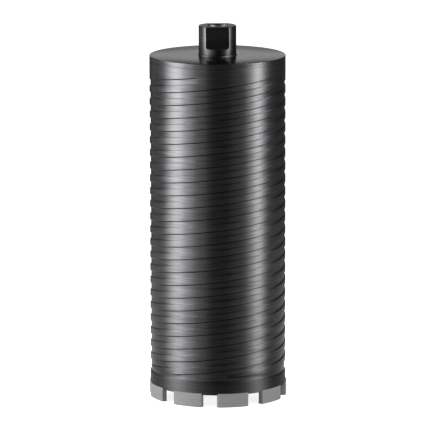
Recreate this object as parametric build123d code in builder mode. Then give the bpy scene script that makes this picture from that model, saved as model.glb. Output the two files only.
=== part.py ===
from build123d import *
from math import cos, degrees, radians, sin
import os

# Diamond core bit: a steel barrel with a four-start spiral turned in it, an end plate
# welded into the barrel, a threaded hub, and a ring of diamond segments.
# Millimetres, +Z up. The origin is on the axis, level with the segments' cutting face.

os.makedirs("parts", exist_ok=True)

# Heights above the cutting edge
plate_top = 280.0  # top face of the end plate
hub_height = 24.0  # hub above the end plate

# Cutting ring
crown_dia = 112.0  # outside, over the segments
segment_count = 9
segment_arc = 25.5  # length along the outer face
segment_height = 10.0
segment_thick = 4.0
segment_proud = 0.85  # how far the segments stand out from the barrel
segment_corner = 0.6  # broken upright edges
segment_turn = 13.0  # centre of the first segment, from the front towards +X

# Barrel
barrel_wall = 2.5

# Spiral: four bands wind up the barrel. Going down, each leans outwards from the foot of
# one sharp edge to the crest of the next edge below it.
spiral_starts = 4
spiral_lead = 42.0  # rise of one band in a full turn
edge_depth = 0.8  # from the plain surface to the foot of an edge
edge_slope = 0.8  # height of the sloping face between foot and crest
crest_drop = 0.05  # crests lie this far below the plain surface
spiral_turn = -16.0  # upper end of the first edge, from the front towards +X
top_band = 10.8  # plain band above the edges' upper ends
bottom_band = 10.0  # plain band below the ring groove

# Ring groove, where the four bands start
ring_floor = 3.2
ring_depth = 0.9

# End plate, a turned disc with a step that seats in the barrel
rim_thick = 4.0  # the part that covers the barrel's end
spigot_depth = 4.0
spigot_clearance = 0.05  # all round, in the barrel's bore
plate_edge = 0.8  # broken outer edge

# Hub, turned with two spanner flats and welded into the end plate
hub_dia = 30.5
hub_flats = 24.0  # across the flats
flat_height = 18.0  # from the top of the hub down
flat_corner = 1.6  # the milling cutter's nose radius
hub_edge = 0.5  # broken edge round the top
hub_foot = 0.8  # weld fillet where the hub meets the plate
hub_spigot_dia = 22.0  # the part that goes down through the end plate
hub_spigot_clearance = 0.05
thread_dia = 16.0  # nominal size of the internal thread
thread_mouth = 0.4  # countersink at the mouth, beyond the thread's radius

# Worked out from the sizes above
front = -90.0  # direction of the front, -Y, as an angle from +X
crown_r = crown_dia / 2
barrel_r = crown_r - segment_proud
bore_r = barrel_r - barrel_wall
barrel_top = plate_top - rim_thick
plate_bottom = barrel_top - spigot_depth
hub_top = plate_top + hub_height
hub_r = hub_dia / 2
hub_spigot_r = hub_spigot_dia / 2
thread_r = thread_dia / 2
spiral_pitch = spiral_lead / spiral_starts
band_slope = (spiral_pitch - edge_slope) * edge_depth / (edge_depth - crest_drop)
ring_z = segment_height + bottom_band + ring_depth + ring_floor / 2
ring_half = ring_floor / 2 + ring_depth
foot_start = ring_z + ring_floor / 2
foot_end = plate_top - top_band - edge_slope
cut_over = 0.3  # how far the cutting shapes reach past the surface

# Cutting shape of one band. It starts inside the ring groove and ends blunt below the
# plain top band.
foot_rise = foot_end - foot_start
start_turn = front + spiral_turn - 360 * foot_rise / spiral_lead
start_plane = Plane(
    origin=(0, 0, foot_start),
    x_dir=(cos(radians(start_turn)), sin(radians(start_turn)), 0),
    z_dir=(0, 0, 1),
)
with BuildPart() as band_cutter:
    with BuildLine(start_plane) as foot_line:
        Helix(pitch=spiral_lead, height=foot_rise, radius=barrel_r - edge_depth)
    path = foot_line.wires()[0]
    begin = path.position_at(0)
    reach = (edge_depth + cut_over) / edge_depth
    with BuildSketch(Plane(begin, x_dir=(begin.X, begin.Y, 0), z_dir=-path.tangent_at(0))):
        with BuildLine():
            Polyline(
                (0, 0),
                (edge_depth + cut_over, edge_slope * reach),
                (edge_depth + cut_over, -band_slope * reach),
                close=True,
            )
        make_face()
    sweep(path=path, is_frenet=True)
    split(bisect_by=Plane.XY.offset(ring_z))

with BuildPart() as barrel:
    with BuildSketch(Plane.XZ):
        with Locations(((barrel_r + bore_r) / 2, (segment_height + barrel_top) / 2)):
            Rectangle(barrel_wall, barrel_top - segment_height)
    revolve(axis=Axis.Z)
    with BuildSketch(Plane.XZ):
        with BuildLine():
            Polyline(
                (barrel_r - ring_depth, ring_z - ring_floor / 2),
                (barrel_r - ring_depth, ring_z + ring_floor / 2),
                (barrel_r + cut_over, ring_z + ring_half + cut_over),
                (barrel_r + cut_over, ring_z - ring_half - cut_over),
                close=True,
            )
        make_face()
    revolve(axis=Axis.Z, mode=Mode.SUBTRACT)
    with PolarLocations(0, spiral_starts):
        add(band_cutter.part, mode=Mode.SUBTRACT)
barrel.part.label = "barrel"

# End plate: its rim covers the barrel's end and its spigot centres it in the bore.
spigot_r = bore_r - spigot_clearance
hub_hole_r = hub_spigot_r + hub_spigot_clearance
with BuildPart() as end_plate:
    with BuildSketch(Plane.XZ):
        with BuildLine():
            Polyline(
                (hub_hole_r, plate_bottom),
                (spigot_r, plate_bottom),
                (spigot_r, barrel_top),
                (barrel_r, barrel_top),
                (barrel_r, plate_top - plate_edge),
                (barrel_r - plate_edge, plate_top),
                (hub_hole_r, plate_top),
                close=True,
            )
        make_face()
    revolve(axis=Axis.Z)
end_plate.part.label = "end_plate"

# Hub: a turned bush, bored for the thread, with a flat milled on its front and its back.
with BuildPart() as hub:
    with BuildSketch(Plane.XZ):
        with BuildLine():
            Polyline(
                (thread_r, plate_bottom),
                (hub_spigot_r, plate_bottom),
                (hub_spigot_r, plate_top),
                (hub_r + hub_foot, plate_top),
                (hub_r, plate_top + hub_foot),
                (hub_r, hub_top - hub_edge),
                (hub_r - hub_edge, hub_top),
                (thread_r + thread_mouth, hub_top),
                (thread_r, hub_top - thread_mouth),
                close=True,
            )
        make_face()
    revolve(axis=Axis.Z)
    with BuildSketch(Plane.YZ):
        for side in (-1, 1):
            with Locations((side * hub_dia / 2, hub_top)):
                Rectangle(hub_dia - hub_flats, 2 * flat_height)
        cut_corners = [v for v in vertices() if v.Z < hub_top and abs(v.Y) < hub_r]
        fillet(cut_corners, flat_corner)
    extrude(amount=hub_dia, both=True, mode=Mode.SUBTRACT)
hub.part.label = "hub"

# One diamond segment, butt-welded under the barrel's end and standing proud of its wall
# inside and out. The others are copies of it, evenly spaced.
segment_r = crown_r - segment_thick
half_turn = degrees(segment_arc / crown_r) / 2
with BuildPart() as segment:
    with BuildSketch():
        with BuildLine():
            outer = CenterArc((0, 0), crown_r, -half_turn, 2 * half_turn)
            inner = CenterArc((0, 0), segment_r, -half_turn, 2 * half_turn)
            Line(outer @ 0, inner @ 0)
            Line(outer @ 1, inner @ 1)
        make_face()
        chamfer(vertices(), segment_corner)
    extrude(amount=segment_height)

segments = []
for index in range(segment_count):
    turn = front + segment_turn + index * 360 / segment_count
    copy_of_segment = segment.part.rotate(Axis.Z, turn)
    copy_of_segment.label = f"segment_{index + 1}"
    segments.append(copy_of_segment)

for piece in [barrel.part, end_plate.part, hub.part] + segments:
    export_step(piece, f"parts/{piece.label}.step")
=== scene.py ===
"""Turns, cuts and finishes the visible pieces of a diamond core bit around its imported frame."""
import math

import bmesh
import bpy
from bpy.props import FloatProperty, FloatVectorProperty, IntProperty, PointerProperty
from bpy.types import Operator, Panel, PropertyGroup
from mathutils import Matrix, Vector


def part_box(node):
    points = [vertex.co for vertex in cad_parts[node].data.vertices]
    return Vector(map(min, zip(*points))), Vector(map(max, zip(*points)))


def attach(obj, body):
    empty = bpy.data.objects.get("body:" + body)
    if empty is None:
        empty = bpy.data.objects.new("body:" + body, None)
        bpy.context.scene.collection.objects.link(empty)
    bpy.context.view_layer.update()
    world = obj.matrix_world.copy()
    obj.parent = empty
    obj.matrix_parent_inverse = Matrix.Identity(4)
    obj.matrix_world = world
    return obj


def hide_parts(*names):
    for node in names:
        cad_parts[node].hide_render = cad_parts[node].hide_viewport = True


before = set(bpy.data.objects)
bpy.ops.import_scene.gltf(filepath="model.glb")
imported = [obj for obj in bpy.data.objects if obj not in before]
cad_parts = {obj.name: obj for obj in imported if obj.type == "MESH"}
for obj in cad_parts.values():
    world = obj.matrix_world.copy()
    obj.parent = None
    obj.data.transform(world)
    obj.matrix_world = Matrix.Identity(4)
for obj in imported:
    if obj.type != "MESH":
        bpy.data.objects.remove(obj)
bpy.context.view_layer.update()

bl_info = {
    "name": "Core Bit Dressing",
    "version": (1, 0, 0),
    "blender": (4, 5, 0),
    "location": "3D View > Sidebar > Core Bit",
    "description": "Turns, cuts and finishes the visible pieces of a diamond core bit",
    "category": "Add Mesh",
}

BODY = "root"
STEEL_SLOT = "black_steel"
SEGMENT_SLOT = "diamond_segment"

# Sizes that the frame gives, in metres
BARREL_LOW, BARREL_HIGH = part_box("barrel")
PLATE_LOW, PLATE_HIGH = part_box("end_plate")
HUB_LOW, HUB_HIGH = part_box("hub")
SEGMENT_NODES = sorted(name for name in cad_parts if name.startswith("segment_"))
BARREL_R = BARREL_HIGH.x
SEGMENT_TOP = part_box(SEGMENT_NODES[0])[1].z
FRONT = math.radians(-90)  # the side that faces the camera, as an angle from +X
SHARP = math.radians(50)  # edges that turn by more than this aren't shaded over
DARKER_ROUGHER_FOOT = (0.0125, 0.0095)  # the coat turns darker and rougher between these heights on the barrel


def length(name, description, default):
    """A length that the user may change, in metres."""
    return FloatProperty(name=name, description=description, default=default,
                         unit="LENGTH", precision=5)


def angle(name, description, degrees):
    """An angle that the user may change, given in degrees."""
    return FloatProperty(name=name, description=description, default=math.radians(degrees),
                         unit="ROTATION")


def share(name, description, default):
    """A plain number from 0 upwards."""
    return FloatProperty(name=name, description=description, default=default, min=0)


def colour(name, description, default):
    """A linear colour."""
    return FloatVectorProperty(name=name, description=description, default=default,
                               subtype="COLOR", size=3, min=0, max=1)


class BarrelSizes(PropertyGroup):
    """Sizes of the barrel with its ring groove and its four-start spiral groove."""

    wall: length("Wall", "Thickness of the tube", 0.0025)
    starts: IntProperty(name="Starts", description="Spiral grooves side by side", default=4)
    lead: length("Lead", "Rise of one groove in a full turn", 0.042)
    groove_depth: length("Groove depth", "Depth of the spiral groove", 0.0008)
    groove_floor: length("Groove floor", "Width of the flat floor of the groove", 0.0042)
    groove_flank: length("Groove flank", "Width of each sloping side", 0.0007)
    end_turn: angle("End turn", "Where the first groove ends, from the front towards +X", -16)
    end_drop: length("End drop", "From the plate's top face down to the groove's end", 0.0108)
    run_out: length("Run out", "Over this length the groove gets shallow and ends", 0.0180)
    broken_edge: length("Broken edge", "Half the width of a broken edge", 0.0001)
    top_margin: length("Top margin", "The spiral's rows stop this far below the end", 0.0004)
    bottom_band: length("Bottom band", "Plain band under the ring groove", 0.0100)
    ring_floor: length("Ring floor", "Width of the ring groove's floor", 0.0032)
    ring_depth: length("Ring depth", "Depth of the ring groove", 0.0009)


class PlateSizes(PropertyGroup):
    """Sizes of the end plate."""

    edge: length("Edge", "Radius of the rounded rim", 0.0004)
    rim: length("Rim", "Height of the part that covers the barrel's end", 0.0040)
    clearance: length("Clearance", "Gap round the spigot in the bore", 0.00005)
    hole_radius: length("Hole radius", "Hole that takes the hub", 0.01105)


class HubSizes(PropertyGroup):
    """Sizes of the hub and of the thread in it."""

    radius: length("Radius", "Outside radius", 0.01525)
    flats: length("Flats", "Size across the spanner flats", 0.0240)
    flat_height: length("Flat height", "From the top down to the end of the flats", 0.0180)
    nose: length("Nose radius", "Radius that the cutter leaves under a flat", 0.0016)
    top_edge: length("Top edge", "Rounded edge round the top", 0.0005)
    broken_edge: length("Broken edge", "Width of the other broken edges", 0.00018)
    foot: length("Foot", "Height of the sloping weld on the plate", 0.0008)
    spigot_radius: length("Spigot radius", "Part inside the plate", 0.0110)
    thread_major: length("Major radius", "Root radius of the internal thread", 0.0080)
    thread_minor: length("Minor radius", "Crest radius of the internal thread", 0.0069)
    thread_pitch: length("Thread pitch", "Rise of the thread in a turn", 0.0020)
    mouth_radius: length("Mouth radius", "Radius of the countersink at the top", 0.0084)


class SegmentSizes(PropertyGroup):
    """Sizes of the diamond segments."""

    outer_radius: length("Outer radius", "Radius over the segments", 0.0560)
    thickness: length("Thickness", "Radial thickness", 0.0040)
    arc: length("Arc", "Length along the outer face", 0.0255)
    turn: angle("Turn", "Centre of the first segment, from the front towards +X", 13)
    corner: length("Corner", "Radius of the upright corners", 0.0006)
    edge: length("Edge", "Broken edge all round", 0.0002)
    overlap: length("Overlap", "How far a segment reaches up over the barrel's end", 0.0013)


class FinishValues(PropertyGroup):
    """Colours and roughness of the finishes."""

    coat: colour("Coat", "Black burnished coat", (0.105, 0.106, 0.109))
    coat_roughness: share("Coat roughness", "Mean roughness of the turned coat", 0.42)
    coat_anisotropy: share("Coat anisotropy", "How far the turning marks spread a highlight", 0.8)
    plate_roughness: share("Plate roughness", "Mean roughness of the end plate", 0.22)
    hub: colour("Hub", "Darker coat of the hub", (0.070, 0.071, 0.073))
    hub_roughness: share("Hub roughness", "Mean roughness of the hub", 0.38)
    hub_anisotropy: share("Hub anisotropy", "The same spread on the hub", 0.5)
    thread: colour("Thread", "Cut thread", (0.23, 0.218, 0.200))
    segment: colour("Segment", "Ground segment", (0.175, 0.175, 0.173))
    floor: colour("Floor", "Pale floor", (0.60, 0.60, 0.60))


class StageValues(PropertyGroup):
    """Camera, lamps and surroundings."""

    lens: FloatProperty(name="Lens", description="Focal length in millimetres", default=371.5)
    distance: length("Distance", "Camera's distance in front of the axis", 3.552)
    height: length("Height", "Camera's height above the floor", 0.805)
    pitch: angle("Pitch", "Camera looks down by this much", 10.478)
    yaw: angle("Yaw", "Camera turned to the left by this much", 0.036)
    roll: angle("Roll", "Camera rolled about its own axis", -0.10)
    box_distance: length("Box distance", "Soft boxes' distance from the axis", 0.90)
    box_middle: length("Box middle", "Height the soft boxes are aimed at", 0.19)
    floor_size: length("Floor size", "Side of the square floor", 12.0)
    floor_lift: share("Floor lift", "Brightness that the floor has of itself", 0.85)
    floor_gloss: share("Floor in gloss", "Paleness of the floor seen in the coat", 0.60)
    card_gloss: share("Card in gloss", "Paleness of the card seen in the coat", 0.12)
    ambient: share("Ambient", "Soft light from all round", 0.65)
    gloss_dim: share("Dim in gloss", "Brightness of the dim studio seen in the coat", 0.04)
    gloss_back: share("Backdrop in gloss", "Brightness of the backdrop seen in the coat", 0.62)


class CoreBitSettings(PropertyGroup):
    """All settings of the core bit."""

    barrel: PointerProperty(type=BarrelSizes)
    plate: PointerProperty(type=PlateSizes)
    hub: PointerProperty(type=HubSizes)
    segments: PointerProperty(type=SegmentSizes)
    finish: PointerProperty(type=FinishValues)
    stage: PointerProperty(type=StageValues)


class Field:
    """A node's output in an expression: each operator adds the Math node that works it out."""

    def __init__(self, graph, socket):
        self.graph = graph
        self.socket = socket

    def __add__(self, other):
        return self.graph.maths("ADD", self, other)

    def __sub__(self, other):
        return self.graph.maths("SUBTRACT", self, other)

    def __rsub__(self, other):
        return self.graph.maths("SUBTRACT", other, self)

    def __mul__(self, other):
        return self.graph.maths("MULTIPLY", self, other)

    def __truediv__(self, other):
        return self.graph.maths("DIVIDE", self, other)

    __radd__ = __add__
    __rmul__ = __mul__


class Graph:
    """A node tree that is being built."""

    def __init__(self, tree):
        self.tree = tree

    def feed(self, slot, value):
        if isinstance(value, Field):
            self.tree.links.new(value.socket, slot)
        else:
            slot.default_value = value

    def node(self, kind, settings=None, inputs=None, output=0):
        """Adds a node: its settings first, then the values or links of its sockets."""
        node = self.tree.nodes.new(kind)
        for name, value in (settings or {}).items():
            setattr(node, name, value)
        for key, value in (inputs or {}).items():
            self.feed(node.inputs[key], value)
        return Field(self, node.outputs[output])

    def maths(self, operation, *terms):
        return self.node("ShaderNodeMath", {"operation": operation}, dict(enumerate(terms)))

    def least(self, one, other):
        return self.maths("MINIMUM", one, other)

    def most(self, one, other):
        return self.maths("MAXIMUM", one, other)

    def root(self, value):
        return self.maths("SQRT", value)

    def parts(self, vector):
        """The x, y and z of a vector."""
        split = self.tree.nodes.new("ShaderNodeSeparateXYZ")
        self.feed(split.inputs[0], vector)
        return [Field(self, socket) for socket in split.outputs]

    def vector(self, x, y, z):
        return self.node("ShaderNodeCombineXYZ", inputs={"X": x, "Y": y, "Z": z})

    def smooth(self, value, low, high):
        """Rises smoothly from 0 at low to 1 at high."""
        return self.node("ShaderNodeMapRange", {"interpolation_type": "SMOOTHSTEP"},
                         {"Value": value, "From Min": low, "From Max": high})


TURNED_INPUTS = (
    ("Material", "NodeSocketMaterial", None),
    ("Columns", "NodeSocketInt", 192),
    ("Lead", "NodeSocketFloat", 0.0),
    ("Starts", "NodeSocketInt", 1),
    ("Depth", "NodeSocketFloat", 0.0),
    ("Floor", "NodeSocketFloat", 0.001),
    ("Flank", "NodeSocketFloat", 0.001),
    ("Centre", "NodeSocketFloat", 0.0),
    ("End Turn", "NodeSocketFloat", 0.0),
    ("Last Centre", "NodeSocketFloat", 10.0),
    ("Run Out", "NodeSocketFloat", 0.001),
    ("Lowest", "NodeSocketFloat", 0.0),
    ("Highest", "NodeSocketFloat", 1.0),
    ("Mouth", "NodeSocketFloat", 0.0),
)


def turned_tree():
    """Sweeps a section round the axis. Rows of the section that wind rise by the lead in a turn,
    and a groove with sloping flanks that runs out at its upper end is cut along them."""
    tree = bpy.data.node_groups.new("turned piece", "GeometryNodeTree")
    sockets = tree.interface
    sockets.new_socket("Section", in_out="INPUT", socket_type="NodeSocketGeometry")
    for name, kind, default in TURNED_INPUTS:
        socket = sockets.new_socket(name, in_out="INPUT", socket_type=kind)
        if default is not None:
            socket.default_value = default
    sockets.new_socket("Piece", in_out="OUTPUT", socket_type="NodeSocketGeometry")
    graph = Graph(tree)
    entry = tree.nodes.new("NodeGroupInput")
    given = {socket.name: Field(graph, socket) for socket in entry.outputs if socket.name}

    rows = graph.node("GeometryNodeAttributeDomainSize", inputs={"Geometry": given["Section"]})
    grid = graph.node("GeometryNodeMeshGrid",
                      inputs={"Vertices X": given["Columns"] + 1, "Vertices Y": rows})
    index = graph.node("GeometryNodeInputIndex")
    column = graph.maths("FLOOR", (index + 0.5) / rows)
    row = index - column * rows

    section_point = graph.node(
        "GeometryNodeSampleIndex", {"data_type": "FLOAT_VECTOR"},
        {"Geometry": given["Section"], "Value": graph.node("GeometryNodeInputPosition"),
         "Index": row})
    section_radius, _, section_height = graph.parts(section_point)
    winds = graph.node(
        "GeometryNodeSampleIndex", {"data_type": "FLOAT"},
        {"Geometry": given["Section"], "Index": row,
         "Value": graph.node("GeometryNodeInputNamedAttribute", {"data_type": "FLOAT"},
                             {"Name": "winds"})})

    turn = column / given["Columns"] * (2 * math.pi)
    risen = given["Lead"] * (turn - given["End Turn"]) / (2 * math.pi)
    wound = graph.least(graph.most(section_height + risen, given["Lowest"]), given["Highest"])
    height = section_height + winds * (wound - section_height)

    pitch = given["Lead"] / given["Starts"]
    aside = graph.maths("WRAP", height - given["Centre"] - risen, pitch * 0.5, pitch * -0.5)
    cut = (given["Floor"] * 0.5 + given["Flank"] - graph.maths("ABSOLUTE", aside)) / given["Flank"]
    cut = graph.least(graph.most(cut, 0), 1)
    # The tool is drawn back over some length, most of it before the groove's end.
    past_end = height - aside - given["Last Centre"]
    past_end = past_end * section_radius * (2 * math.pi) / given["Lead"]
    left = graph.smooth(past_end / given["Run Out"], 0.25, -0.75)
    radius = section_radius - cut * left * given["Depth"] * winds
    # A countersink takes the crests off a thread at its mouth.
    cone = given["Mouth"] - (given["Highest"] - height)
    radius = radius + winds * (graph.most(radius, cone) - radius)

    bearing = turn + FRONT
    place = graph.vector(radius * graph.maths("COSINE", bearing),
                         radius * graph.maths("SINE", bearing), height)
    shape = graph.node("GeometryNodeSetPosition", inputs={"Geometry": grid, "Position": place})
    shape = graph.node("GeometryNodeMergeByDistance",
                       inputs={"Geometry": shape, "Distance": 2e-6})
    shape = graph.node("GeometryNodeSetShadeSmooth", inputs={"Geometry": shape})
    corner = graph.maths("GREATER_THAN", graph.node("GeometryNodeInputMeshEdgeAngle"), SHARP)
    shape = graph.node("GeometryNodeSetShadeSmooth", {"domain": "EDGE"},
                       {"Geometry": shape, "Selection": corner, "Shade Smooth": False})
    finish(graph, shape, given["Material"])
    return tree


def finish(graph, shape, material):
    """Ends a tree: real geometry with its material."""
    shape = graph.node("GeometryNodeRealizeInstances", inputs={"Geometry": shape})
    shape = graph.node("GeometryNodeSetMaterial", inputs={"Geometry": shape, "Material": material})
    out = graph.tree.nodes.new("NodeGroupOutput")
    graph.feed(out.inputs[0], shape)


def set_inputs(modifier, values):
    """Sets a modifier's inputs, found by name, through their identifiers."""
    names = {item.name: item.identifier for item in modifier.node_group.interface.items_tree
             if item.in_out == "INPUT"}
    for name, value in values.items():
        modifier[names[name]] = value


def settle(piece):
    """Turns the evaluated piece into a plain mesh and takes its modifiers away."""
    evaluated = piece.evaluated_get(bpy.context.evaluated_depsgraph_get())
    mesh = bpy.data.meshes.new_from_object(evaluated)
    piece.modifiers.clear()
    mesh.name = piece.name
    finish_in_use = [material for material in mesh.materials if material][0]
    mesh.materials.clear()
    mesh.materials.append(finish_in_use)
    piece.data = mesh
    return piece


def even_normals(piece):
    """Shades by the large faces, so that flat stretches look flat beside their broken edges."""
    modifier = piece.modifiers.new("even normals", "WEIGHTED_NORMAL")
    modifier.mode = "FACE_AREA"
    modifier.weight = 50


def show(name, mesh):
    """A new object that holds the mesh."""
    piece = bpy.data.objects.new(name, mesh)
    bpy.context.scene.collection.objects.link(piece)
    return piece


def turned(name, section, material, **inputs):
    """A piece turned from a closed section, given as (radius, height, winds) anticlockwise."""
    mesh = bpy.data.meshes.new(name)
    closed = list(section) + [section[0]]
    mesh.from_pydata([(radius, 0, height) for radius, height, _ in closed],
                     [(i, i + 1) for i in range(len(closed) - 1)], [])
    winding = mesh.attributes.new("winds", "FLOAT", "POINT")
    winding.data.foreach_set("value", [float(winds) for _, _, winds in closed])
    piece = show(name, mesh)
    modifier = piece.modifiers.new("turned", "NODES")
    modifier.node_group = bpy.data.node_groups.get("turned piece") or turned_tree()
    set_inputs(modifier, {"Material": material, **inputs})
    even_normals(piece)
    return settle(piece)


def arc(centre, radius, start, end, steps):
    """Points of an arc in a section, with angles in degrees from the outward direction."""
    points = []
    for step in range(steps + 1):
        bearing = math.radians(start + (end - start) * step / steps)
        points.append((centre[0] + radius * math.cos(bearing),
                       centre[1] + radius * math.sin(bearing), 0))
    return points


def hand_over(piece, slot, *nodes):
    """The piece rides on the bit's body and stands for these nodes."""
    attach(piece, BODY)
    if nodes:
        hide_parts(*nodes)


def new_material(name):
    """An empty material: its graph and its main shader node."""
    material = bpy.data.materials.new(name)
    material.use_nodes = True
    tree = material.node_tree
    tree.nodes.clear()
    shader = tree.nodes.new("ShaderNodeBsdfPrincipled")
    out = tree.nodes.new("ShaderNodeOutputMaterial")
    tree.links.new(shader.outputs[0], out.inputs["Surface"])
    return material, Graph(tree), shader


def kept(name, make, *values):
    """The material of that name, made when it is first asked for."""
    return bpy.data.materials.get(name) or make(name, *values)


def noise(graph, vector, detail, roughness=0.5):
    """Noise around 0.5 at one cell to a unit."""
    return graph.node("ShaderNodeTexNoise", inputs={
        "Vector": vector, "Scale": 1.0, "Detail": detail, "Roughness": roughness})


def tint(graph, rgb, value):
    """A colour times a value."""
    return graph.node("ShaderNodeVectorMath", {"operation": "SCALE"},
                      {0: tuple(rgb), "Scale": value})


def streaks_round(graph, along, across):
    """Turning marks: long round the axis, fine along it. Both are cells to a metre."""
    x, y, z = graph.parts(graph.node("ShaderNodeTexCoord", output="Object"))
    return noise(graph, graph.vector(x * along, y * along, z * across), 3.0, 0.6)


def turned_coat(name, rgb, roughness, anisotropy):
    """Black burnished steel with the marks of the lathe running round it."""
    material, graph, shader = new_material(name)
    coarse = streaks_round(graph, 14.0, 420.0)
    fine = streaks_round(graph, 30.0, 1500.0)
    marks = coarse * 0.4 + fine * 0.6
    # The plain band at the barrel's foot is darker and rougher, and painted shade darkens what
    # faces down.
    height = graph.parts(graph.node("ShaderNodeTexCoord", output="Object"))[2]
    facing = graph.parts(graph.node("ShaderNodeTexCoord", output="Normal"))[2]
    darker_rougher_foot = graph.smooth(height, *[BARREL_LOW.z + edge for edge in DARKER_ROUGHER_FOOT]) * 0.30
    # Painted shade: the base colour is darkened on faces that point down.
    painted_shade_facing_down = graph.smooth(facing, -0.15, -0.45) * 0.90
    graph.feed(shader.inputs["Base Color"],
               tint(graph, rgb, (marks * 1.8 + 0.1) * (1 - darker_rougher_foot) * (1 - painted_shade_facing_down)))
    graph.feed(shader.inputs["Roughness"], (marks - 0.5) * 0.20 + darker_rougher_foot * 0.4 + roughness)
    graph.feed(shader.inputs["Normal"], graph.node(
        "ShaderNodeBump", inputs={"Strength": 0.25, "Distance": 0.00003, "Height": fine}))
    shader.inputs["Metallic"].default_value = 1.0
    shader.inputs["Anisotropic"].default_value = anisotropy
    shader.inputs["Anisotropic Rotation"].default_value = 0.25
    return material


def faced_coat(name, rgb, roughness):
    """The same coat on the faced end plate, where the marks are rings."""
    material, graph, shader = new_material(name)
    x, y, z = graph.parts(graph.node("ShaderNodeTexCoord", output="Object"))
    from_axis = graph.root(x * x + y * y)
    rings = noise(graph, graph.vector(x * 12, y * 12, (from_axis + z) * 1300), 3.0, 0.6)
    graph.feed(shader.inputs["Base Color"], tint(graph, rgb, rings * 0.5 + 0.75))
    graph.feed(shader.inputs["Roughness"], (rings - 0.5) * 0.16 + roughness)
    graph.feed(shader.inputs["Normal"], graph.node(
        "ShaderNodeBump", inputs={"Strength": 0.2, "Distance": 0.00003, "Height": rings}))
    shader.inputs["Metallic"].default_value = 1.0
    return material


def cut_thread_finish(name, rgb):
    """Bare cut steel, lightly oiled."""
    material, graph, shader = new_material(name)
    chatter = streaks_round(graph, 300.0, 2500.0)
    graph.feed(shader.inputs["Base Color"], tint(graph, rgb, chatter * 0.8 + 0.6))
    graph.feed(shader.inputs["Roughness"], (chatter - 0.5) * 0.2 + 0.42)
    shader.inputs["Metallic"].default_value = 1.0
    return material


def ground_segment(name, rgb):
    """Sintered metal with the grinder's lines round it and specks of grit in it."""
    material, graph, shader = new_material(name)
    place = graph.node("ShaderNodeTexCoord", output="Object")
    x, y, z = graph.parts(place)
    lines = noise(graph, graph.vector(x * 45, y * 45, z * 1500), 3.0, 0.6)
    grain = graph.node("ShaderNodeTexVoronoi", inputs={"Vector": place, "Scale": 2600.0})
    grit = graph.smooth(grain, 0.34, 0.16)
    shade = lines * 0.55 + 0.72 + grit * 0.10
    graph.feed(shader.inputs["Base Color"], tint(graph, rgb, shade))
    graph.feed(shader.inputs["Roughness"], 0.62 + (lines - 0.5) * 0.2)
    relief = lines * 0.7 + grit * 0.3
    graph.feed(shader.inputs["Normal"], graph.node(
        "ShaderNodeBump", inputs={"Strength": 0.35, "Distance": 0.00005, "Height": relief}))
    shader.inputs["Metallic"].default_value = 0.1
    shader.inputs["Specular IOR Level"].default_value = 0.35
    return material


class Maker(Operator):
    """Common ground of the operators that make pieces."""

    bl_options = {"REGISTER", "UNDO"}

    def settings(self):
        return bpy.context.scene.core_bit


class COREBIT_OT_barrel(Maker):
    """Turn the barrel and cut its four-start spiral groove"""

    bl_idname = "core_bit.barrel"
    bl_label = "Barrel"

    def execute(self, context):
        sizes = self.settings().barrel
        low, high = BARREL_LOW.z, BARREL_HIGH.z
        bore = BARREL_R - sizes.wall
        edge = sizes.broken_edge
        ring_low = low + sizes.bottom_band
        floor_low = ring_low + sizes.ring_depth
        floor_high = floor_low + sizes.ring_floor
        ring_high = floor_high + sizes.ring_depth
        ring_r = BARREL_R - sizes.ring_depth
        pitch = sizes.lead / sizes.starts
        half_floor = sizes.groove_floor / 2
        half_open = half_floor + sizes.groove_flank
        last_centre = PLATE_HIGH.z - sizes.end_drop - half_open

        section = [
            (BARREL_R - 2 * edge, low, 0),
            (BARREL_R, low + 2 * edge, 0),
            (BARREL_R, ring_low - edge, 0),
            (BARREL_R - edge, ring_low + edge, 0),
            (ring_r + edge, floor_low - edge, 0),
            (ring_r, floor_low + edge, 0),
            (ring_r, floor_high, 0),
        ]
        # Rows of one pitch, on both sides of each edge of the groove
        rows = [-half_open - edge, -half_open + edge, -half_floor - edge, -half_floor + edge]
        rows += [-row for row in reversed(rows)]
        first = math.floor((ring_high - sizes.lead - last_centre) / pitch)
        last = math.ceil((high - last_centre) / pitch)
        for number in range(first, last + 1):
            section += [(BARREL_R, last_centre + number * pitch + row, 1) for row in rows]
        section += [(BARREL_R, high, 0), (bore, high, 0), (bore, low, 0)]

        values = self.settings().finish
        material = kept("turned coat", turned_coat, values.coat, values.coat_roughness,
                        values.coat_anisotropy)
        piece = turned("turned_barrel", section, material, **{
            "Columns": 240, "Lead": sizes.lead, "Starts": sizes.starts,
            "Depth": sizes.groove_depth, "Floor": sizes.groove_floor,
            "Flank": sizes.groove_flank, "Centre": last_centre, "End Turn": sizes.end_turn,
            "Last Centre": last_centre, "Run Out": sizes.run_out, "Lowest": ring_high,
            "Highest": high - sizes.top_margin,
        })
        hand_over(piece, STEEL_SLOT, "barrel")
        return {"FINISHED"}


class COREBIT_OT_plate(Maker):
    """Turn the end plate"""

    bl_idname = "core_bit.plate"
    bl_label = "End plate"

    def execute(self, context):
        sizes = self.settings().plate
        top = PLATE_HIGH.z
        seat = top - sizes.rim
        spigot = BARREL_R - self.settings().barrel.wall - sizes.clearance
        rim_r = BARREL_R - sizes.edge
        values = self.settings().finish
        disc = turned("faced_end_plate", [
            (sizes.hole_radius, PLATE_LOW.z, 0), (spigot, PLATE_LOW.z, 0), (spigot, seat, 0),
            (rim_r, seat, 0), (rim_r, top, 0), (sizes.hole_radius, top, 0),
        ], faced_coat("faced coat", values.coat, values.plate_roughness))
        hand_over(disc, STEEL_SLOT, "end_plate")
        # The rim was turned along with the barrel, so it has the barrel's finish.
        rim = turned("turned_rim", [
            (rim_r, seat, 0), (BARREL_R, seat, 0),
            *arc((rim_r, top - sizes.edge), sizes.edge, 0, 90, 6),
        ], kept("turned coat", turned_coat, values.coat, values.coat_roughness,
                values.coat_anisotropy))
        hand_over(rim, STEEL_SLOT)
        return {"FINISHED"}


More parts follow.
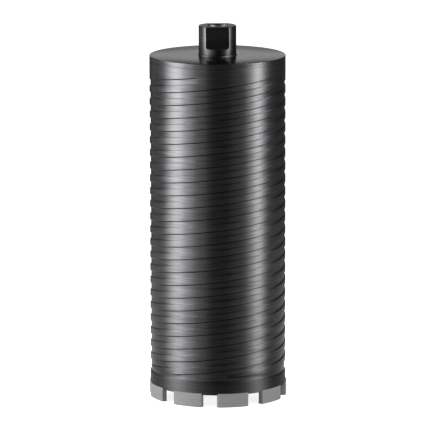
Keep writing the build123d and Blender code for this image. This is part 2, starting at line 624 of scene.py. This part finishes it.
class COREBIT_OT_hub(Maker):
    """Turn the hub, mill its two flats and cut its thread"""

    bl_idname = "core_bit.hub"
    bl_label = "Hub and thread"

    def execute(self, context):
        sizes = self.settings().hub
        values = self.settings().finish
        # The hub's coat carries the same painted shade on faces that point down.
        material = turned_coat("hub coat", values.hub, values.hub_roughness,
                               values.hub_anisotropy)
        top, plate_top = HUB_HIGH.z, PLATE_HIGH.z
        sleeve = 0.0003  # the thread's ring reaches this far into the hub
        bore = sizes.thread_major + sleeve * 2 / 3
        weld = [(sizes.radius + sizes.foot, plate_top, 0),
                (sizes.radius, plate_top + sizes.foot, 0)]
        section = [(bore, HUB_LOW.z, 0), (sizes.spigot_radius, HUB_LOW.z, 0),
                   (sizes.spigot_radius, plate_top, 0)] + weld
        section += arc((sizes.radius - sizes.top_edge, top - sizes.top_edge),
                       sizes.top_edge, 0, 90, 4)
        section += [(sizes.mouth_radius, top, 0),
                    (bore, top - (sizes.mouth_radius - bore), 0)]
        blank = turned("milled_hub", section, material)
        for side in (-1, 1):
            self.mill(blank, sizes, side)
        bevel = blank.modifiers.new("broken edges", "BEVEL")
        bevel.width = sizes.broken_edge
        bevel.segments = 2
        bevel.limit_method = "ANGLE"
        bevel.angle_limit = math.radians(35)
        even_normals(blank)
        hub = settle(blank)
        hand_over(hub, STEEL_SLOT, "hub")
        self.cut(sizes, sleeve)
        return {"FINISHED"}

    def mill(self, blank, sizes, side):
        """Takes one flat off the blank with a cutter that has a nose radius."""
        flat_y = sizes.flats / 2
        clear = sizes.radius
        foot = HUB_HIGH.z - sizes.flat_height
        outline = [(flat_y, HUB_HIGH.z + clear), (2 * clear, HUB_HIGH.z + clear),
                   (2 * clear, foot)]
        nose = arc((flat_y + sizes.nose, foot + sizes.nose), sizes.nose, 270, 180, 8)
        outline += [(y, z) for y, z, _ in nose]
        shape = bmesh.new()
        near, far = [[shape.verts.new((x, side * y, z)) for y, z in outline]
                     for x in (-2 * clear, 2 * clear)]
        count = len(outline)
        for i in range(count):
            shape.faces.new((near[i], near[(i + 1) % count], far[(i + 1) % count], far[i]))
        shape.faces.new(near)
        shape.faces.new(far)
        bmesh.ops.recalc_face_normals(shape, faces=shape.faces)
        mesh = bpy.data.meshes.new("flat cutter")
        shape.to_mesh(mesh)
        shape.free()
        cutter = show("flat cutter", mesh)
        cut = blank.modifiers.new("flat", "BOOLEAN")
        cut.operation = "DIFFERENCE"
        cut.solver = "EXACT"
        cut.object = cutter
        bpy.context.view_layer.update()
        settle(blank)
        bpy.data.objects.remove(cutter)

    def cut(self, sizes, sleeve):
        """Lines the bore with its internal thread."""
        low, high = HUB_LOW.z, HUB_HIGH.z - 0.0002
        pitch = sizes.thread_pitch
        depth = sizes.thread_major - sizes.thread_minor
        floor = pitch / 8
        flank = depth * math.tan(math.radians(30))
        outer = sizes.thread_major + sleeve
        rows = [-floor / 2 - flank, -floor / 2, floor / 2, floor / 2 + flank]
        first = math.floor((low - pitch - high) / pitch) - 1
        section = []
        for number in range(1, first - 1, -1):
            section += [(sizes.thread_minor, high + number * pitch - row, 1) for row in rows]
        section += [(sizes.thread_major, low, 0), (outer, low, 0), (outer, high, 0)]
        material = cut_thread_finish("cut thread", self.settings().finish.thread)
        thread = turned("hub_thread", section, material, **{
            "Columns": 72, "Lead": pitch, "Starts": 1, "Depth": -depth,
            "Floor": floor, "Flank": flank, "Centre": high, "Lowest": low, "Highest": high,
            "Mouth": sizes.mouth_radius,
        })
        hand_over(thread, STEEL_SLOT)


def ring_tree():
    """Sets copies of one segment evenly round the axis."""
    tree = bpy.data.node_groups.new("segment ring", "GeometryNodeTree")
    sockets = tree.interface
    sockets.new_socket("Segment", in_out="INPUT", socket_type="NodeSocketGeometry")
    sockets.new_socket("Count", in_out="INPUT", socket_type="NodeSocketInt")
    sockets.new_socket("First Turn", in_out="INPUT", socket_type="NodeSocketFloat")
    sockets.new_socket("Material", in_out="INPUT", socket_type="NodeSocketMaterial")
    sockets.new_socket("Ring", in_out="OUTPUT", socket_type="NodeSocketGeometry")
    graph = Graph(tree)
    entry = tree.nodes.new("NodeGroupInput")
    given = {socket.name: Field(graph, socket) for socket in entry.outputs if socket.name}
    points = graph.node("GeometryNodePoints", inputs={"Count": given["Count"]})
    index = graph.node("GeometryNodeInputIndex")
    turn = given["First Turn"] + index * graph.maths("DIVIDE", 2 * math.pi, given["Count"])
    rotation = graph.node("FunctionNodeEulerToRotation",
                          inputs={"Euler": graph.vector(0.0, 0.0, turn + FRONT)})
    shape = graph.node("GeometryNodeInstanceOnPoints", inputs={
        "Points": points, "Instance": given["Segment"], "Rotation": rotation})
    finish(graph, shape, given["Material"])
    return tree


class COREBIT_OT_segments(Maker):
    """Shape one diamond segment and set the ring of them under the barrel"""

    bl_idname = "core_bit.segments"
    bl_label = "Diamond segments"

    def execute(self, context):
        sizes = self.settings().segments
        outer = sizes.outer_radius
        inner = outer - sizes.thickness
        half = sizes.arc / outer / 2
        inner_half = math.asin(outer * math.sin(half) / inner)  # the two ends are parallel
        steps = 14
        shape = bmesh.new()
        shares = [2 * step / steps - 1 for step in range(steps + 1)]
        outline = [(outer * math.cos(half * part), outer * math.sin(half * part))
                   for part in shares]
        outline += [(inner * math.cos(inner_half * part), inner * math.sin(inner_half * part))
                    for part in reversed(shares)]
        base = shape.faces.new([shape.verts.new((x, y, 0)) for x, y in outline])
        raised = bmesh.ops.extrude_face_region(shape, geom=[base])["geom"]
        tops = [item for item in raised if isinstance(item, bmesh.types.BMVert)]
        bmesh.ops.translate(shape, verts=tops, vec=(0, 0, SEGMENT_TOP + sizes.overlap))
        bmesh.ops.recalc_face_normals(shape, faces=shape.faces)
        corners = [edge for edge in shape.edges
                   if abs(edge.verts[0].co.z - edge.verts[1].co.z) > SEGMENT_TOP / 2
                   and edge.calc_face_angle() > math.radians(45)]
        bmesh.ops.bevel(shape, geom=corners, offset=sizes.corner, segments=4, profile=0.5,
                        affect="EDGES")
        mesh = bpy.data.meshes.new("segment ring")
        shape.to_mesh(mesh)
        shape.free()
        mesh.shade_smooth()
        ring = show("diamond_segments", mesh)
        bevel = ring.modifiers.new("broken edges", "BEVEL")
        bevel.width = sizes.edge
        bevel.segments = 2
        bevel.limit_method = "ANGLE"
        bevel.angle_limit = math.radians(60)
        modifier = ring.modifiers.new("ring", "NODES")
        modifier.node_group = ring_tree()
        material = ground_segment("ground segment", self.settings().finish.segment)
        set_inputs(modifier, {"Count": len(SEGMENT_NODES), "First Turn": sizes.turn,
                              "Material": material})
        even_normals(ring)
        settle(ring)
        hand_over(ring, SEGMENT_SLOT, *SEGMENT_NODES)
        return {"FINISHED"}


# Soft boxes: bearing of the middle from the front towards +X, its elevation, width and height,
# all in degrees, and brightness. Each side is brighter in its middle.
SOFT_BOXES = (
    ("left", -68, 0, 52, 24, 6.2),
    ("left middle", -71, 0, 22, 24, 9.2),
    ("left high", -100, 44, 24, 40, 6.5),
    ("left feather", -31, 0, 24, 24, 1.6),
    ("left fill", -124, 0, 40, 24, 0.25),
    ("right feather", 36, 0, 26, 24, 0.50),
    ("right", 68, 0, 34, 24, 4.1),
    ("right middle", 70, 0, 14, 24, 11.4),
    ("right high", 98, 59, 18, 22, 8.0),
)
# In the coat the floor is pale near the bit and dark further out, and looks as if a black card
# lay in front of the bit. Both edges are in metres.
CARD_EDGE = (-0.10, 0.10)  # the card fades out between these places, from front to back
PALE_EDGE = (0.70, 0.20)  # the floor turns pale between these distances from the axis
# The backdrop's lower edge and its front edge, as parts of the direction it is seen in
BACKDROP_FOOT = (-0.02, 0.16)
BACKDROP_SIDE = (0.90, 0.98)


class COREBIT_OT_stage(Maker):
    """Build the floor, the soft boxes, the surroundings and the camera"""

    bl_idname = "core_bit.stage"
    bl_label = "Stage"

    def execute(self, context):
        values = self.settings().stage
        self.lay_floor(values)
        for name, bearing, elevation, width, height, brightness in SOFT_BOXES:
            angles = (math.radians(a) for a in (bearing, elevation, width, height))
            self.hang_box(values, name, *angles, brightness)
        self.surround(values)
        self.aim_camera(values)
        context.scene.view_settings.view_transform = "Standard"
        return {"FINISHED"}

    def lay_floor(self, values):
        half = values.floor_size / 2
        mesh = bpy.data.meshes.new("floor")
        mesh.from_pydata([(-half, -half, 0), (half, -half, 0), (half, half, 0), (-half, half, 0)],
                         [], [(0, 1, 2, 3)])
        floor = show("floor", mesh)
        material = bpy.data.materials.new("pale floor")
        material.use_nodes = True
        material.cycles.emission_sampling = "NONE"
        graph = Graph(material.node_tree)
        graph.tree.nodes.clear()
        rays = graph.tree.nodes.new("ShaderNodeLightPath")
        camera, gloss, through = [Field(graph, rays.outputs[name]) for name in (
            "Is Camera Ray", "Is Glossy Ray", "Is Transmission Ray")]
        pale = graph.node("ShaderNodeBsdfDiffuse",
                          inputs={"Color": (*self.settings().finish.floor, 1)})
        white = graph.node("ShaderNodeEmission",
                           inputs={"Strength": (camera + through) * values.floor_lift})
        seen = graph.node("ShaderNodeAddShader", inputs={0: pale, 1: white})
        x, y, _ = graph.parts(graph.node("ShaderNodeTexCoord", output="Object"))
        pale_part = (graph.smooth(y, *CARD_EDGE)
                     * graph.smooth(graph.root(x * x + y * y), *PALE_EDGE))
        card, bright = [
            graph.node("ShaderNodeBsdfDiffuse", inputs={"Color": (grey, grey, grey, 1)})
            for grey in (values.card_gloss, values.floor_gloss)]
        dim = graph.node("ShaderNodeMixShader", inputs={0: pale_part, 1: card, 2: bright})
        shader = graph.node("ShaderNodeMixShader", inputs={0: gloss, 1: seen, 2: dim})
        out = graph.tree.nodes.new("ShaderNodeOutputMaterial")
        graph.feed(out.inputs["Surface"], shader)
        mesh.materials.append(material)

    def hang_box(self, values, name, bearing, elevation, width, height, brightness):
        """A soft box that faces the middle of the axis."""
        lamp = bpy.data.lights.new(name, "AREA")
        lamp.shape = "RECTANGLE"
        lamp.size = 2 * values.box_distance * math.tan(width / 2)
        lamp.size_y = 2 * values.box_distance * math.tan(height / 2)
        lamp.energy = brightness * math.pi * lamp.size * lamp.size_y
        box = show(name, lamp)
        level = Vector((math.cos(bearing + FRONT), math.sin(bearing + FRONT), 0))
        out = level * math.cos(elevation) + Vector((0, 0, math.sin(elevation)))
        box.location = out * values.box_distance + Vector((0, 0, values.box_middle))
        box.rotation_euler = out.to_track_quat("Z", "Y").to_euler()
        box.visible_camera = False

    def surround(self, values):
        """White for the camera, a dim studio with a white backdrop for the coat."""
        world = bpy.data.worlds.new("studio")
        world.use_nodes = True
        world.cycles.sampling_method = "NONE"
        graph = Graph(world.node_tree)
        graph.tree.nodes.clear()
        rays = graph.tree.nodes.new("ShaderNodeLightPath")
        camera, gloss, through = [Field(graph, rays.outputs[name]) for name in (
            "Is Camera Ray", "Is Glossy Ray", "Is Transmission Ray")]
        _, y, z = graph.parts(graph.node("ShaderNodeTexCoord", output="Generated"))
        backdrop = graph.smooth(y, *BACKDROP_SIDE) * graph.smooth(z, *BACKDROP_FOOT)
        in_gloss = backdrop * values.gloss_back + values.gloss_dim
        white = camera + through
        strength = white + gloss * in_gloss + (1 - white - gloss) * values.ambient
        glow = graph.node("ShaderNodeBackground", inputs={"Strength": strength,
                                                          "Color": (1, 1, 1, 1)})
        out = graph.tree.nodes.new("ShaderNodeOutputWorld")
        graph.feed(out.inputs["Surface"], glow)
        bpy.context.scene.world = world

    def aim_camera(self, values):
        lens = bpy.data.cameras.new("camera")
        lens.lens = values.lens
        camera = show("camera", lens)
        upright = math.pi / 2 - values.pitch
        camera.matrix_world = (Matrix.Translation((0, -values.distance, values.height))
                               @ Matrix.Rotation(values.yaw, 4, "Z")
                               @ Matrix.Rotation(upright, 4, "X")
                               @ Matrix.Rotation(values.roll, 4, "Z"))
        bpy.context.scene.camera = camera


OPERATORS = (COREBIT_OT_barrel, COREBIT_OT_plate, COREBIT_OT_hub, COREBIT_OT_segments,
             COREBIT_OT_stage)


class COREBIT_PT_pieces(Panel):
    """Lists the core bit's pieces and their settings"""

    bl_label = "Core Bit"
    bl_idname = "COREBIT_PT_pieces"
    bl_space_type = "VIEW_3D"
    bl_region_type = "UI"
    bl_category = "Core Bit"

    def draw(self, context):
        settings = context.scene.core_bit
        groups = (settings.barrel, settings.plate, settings.hub, settings.segments,
                  settings.stage)
        for operator, group in zip(OPERATORS, groups):
            box = self.layout.box()
            box.operator(operator.bl_idname)
            for name in group.__annotations__:
                box.prop(group, name)
        box = self.layout.box()
        for name in settings.finish.__annotations__:
            box.prop(settings.finish, name)


CLASSES = (BarrelSizes, PlateSizes, HubSizes, SegmentSizes, FinishValues, StageValues,
           CoreBitSettings, *OPERATORS, COREBIT_PT_pieces)


def register():
    for item in CLASSES:
        bpy.utils.register_class(item)
    bpy.types.Scene.core_bit = PointerProperty(type=CoreBitSettings)


def unregister():
    del bpy.types.Scene.core_bit
    for item in reversed(CLASSES):
        bpy.utils.unregister_class(item)


def corners(box):
    """A box as plain lists of numbers."""
    return [[float(number) for number in corner] for corner in box]


def main():
    register()
    bpy.ops.core_bit.barrel()
    bpy.ops.core_bit.plate()
    bpy.ops.core_bit.hub()
    bpy.ops.core_bit.segments()
    bpy.ops.core_bit.stage()


if __name__ == "__main__":
    main()
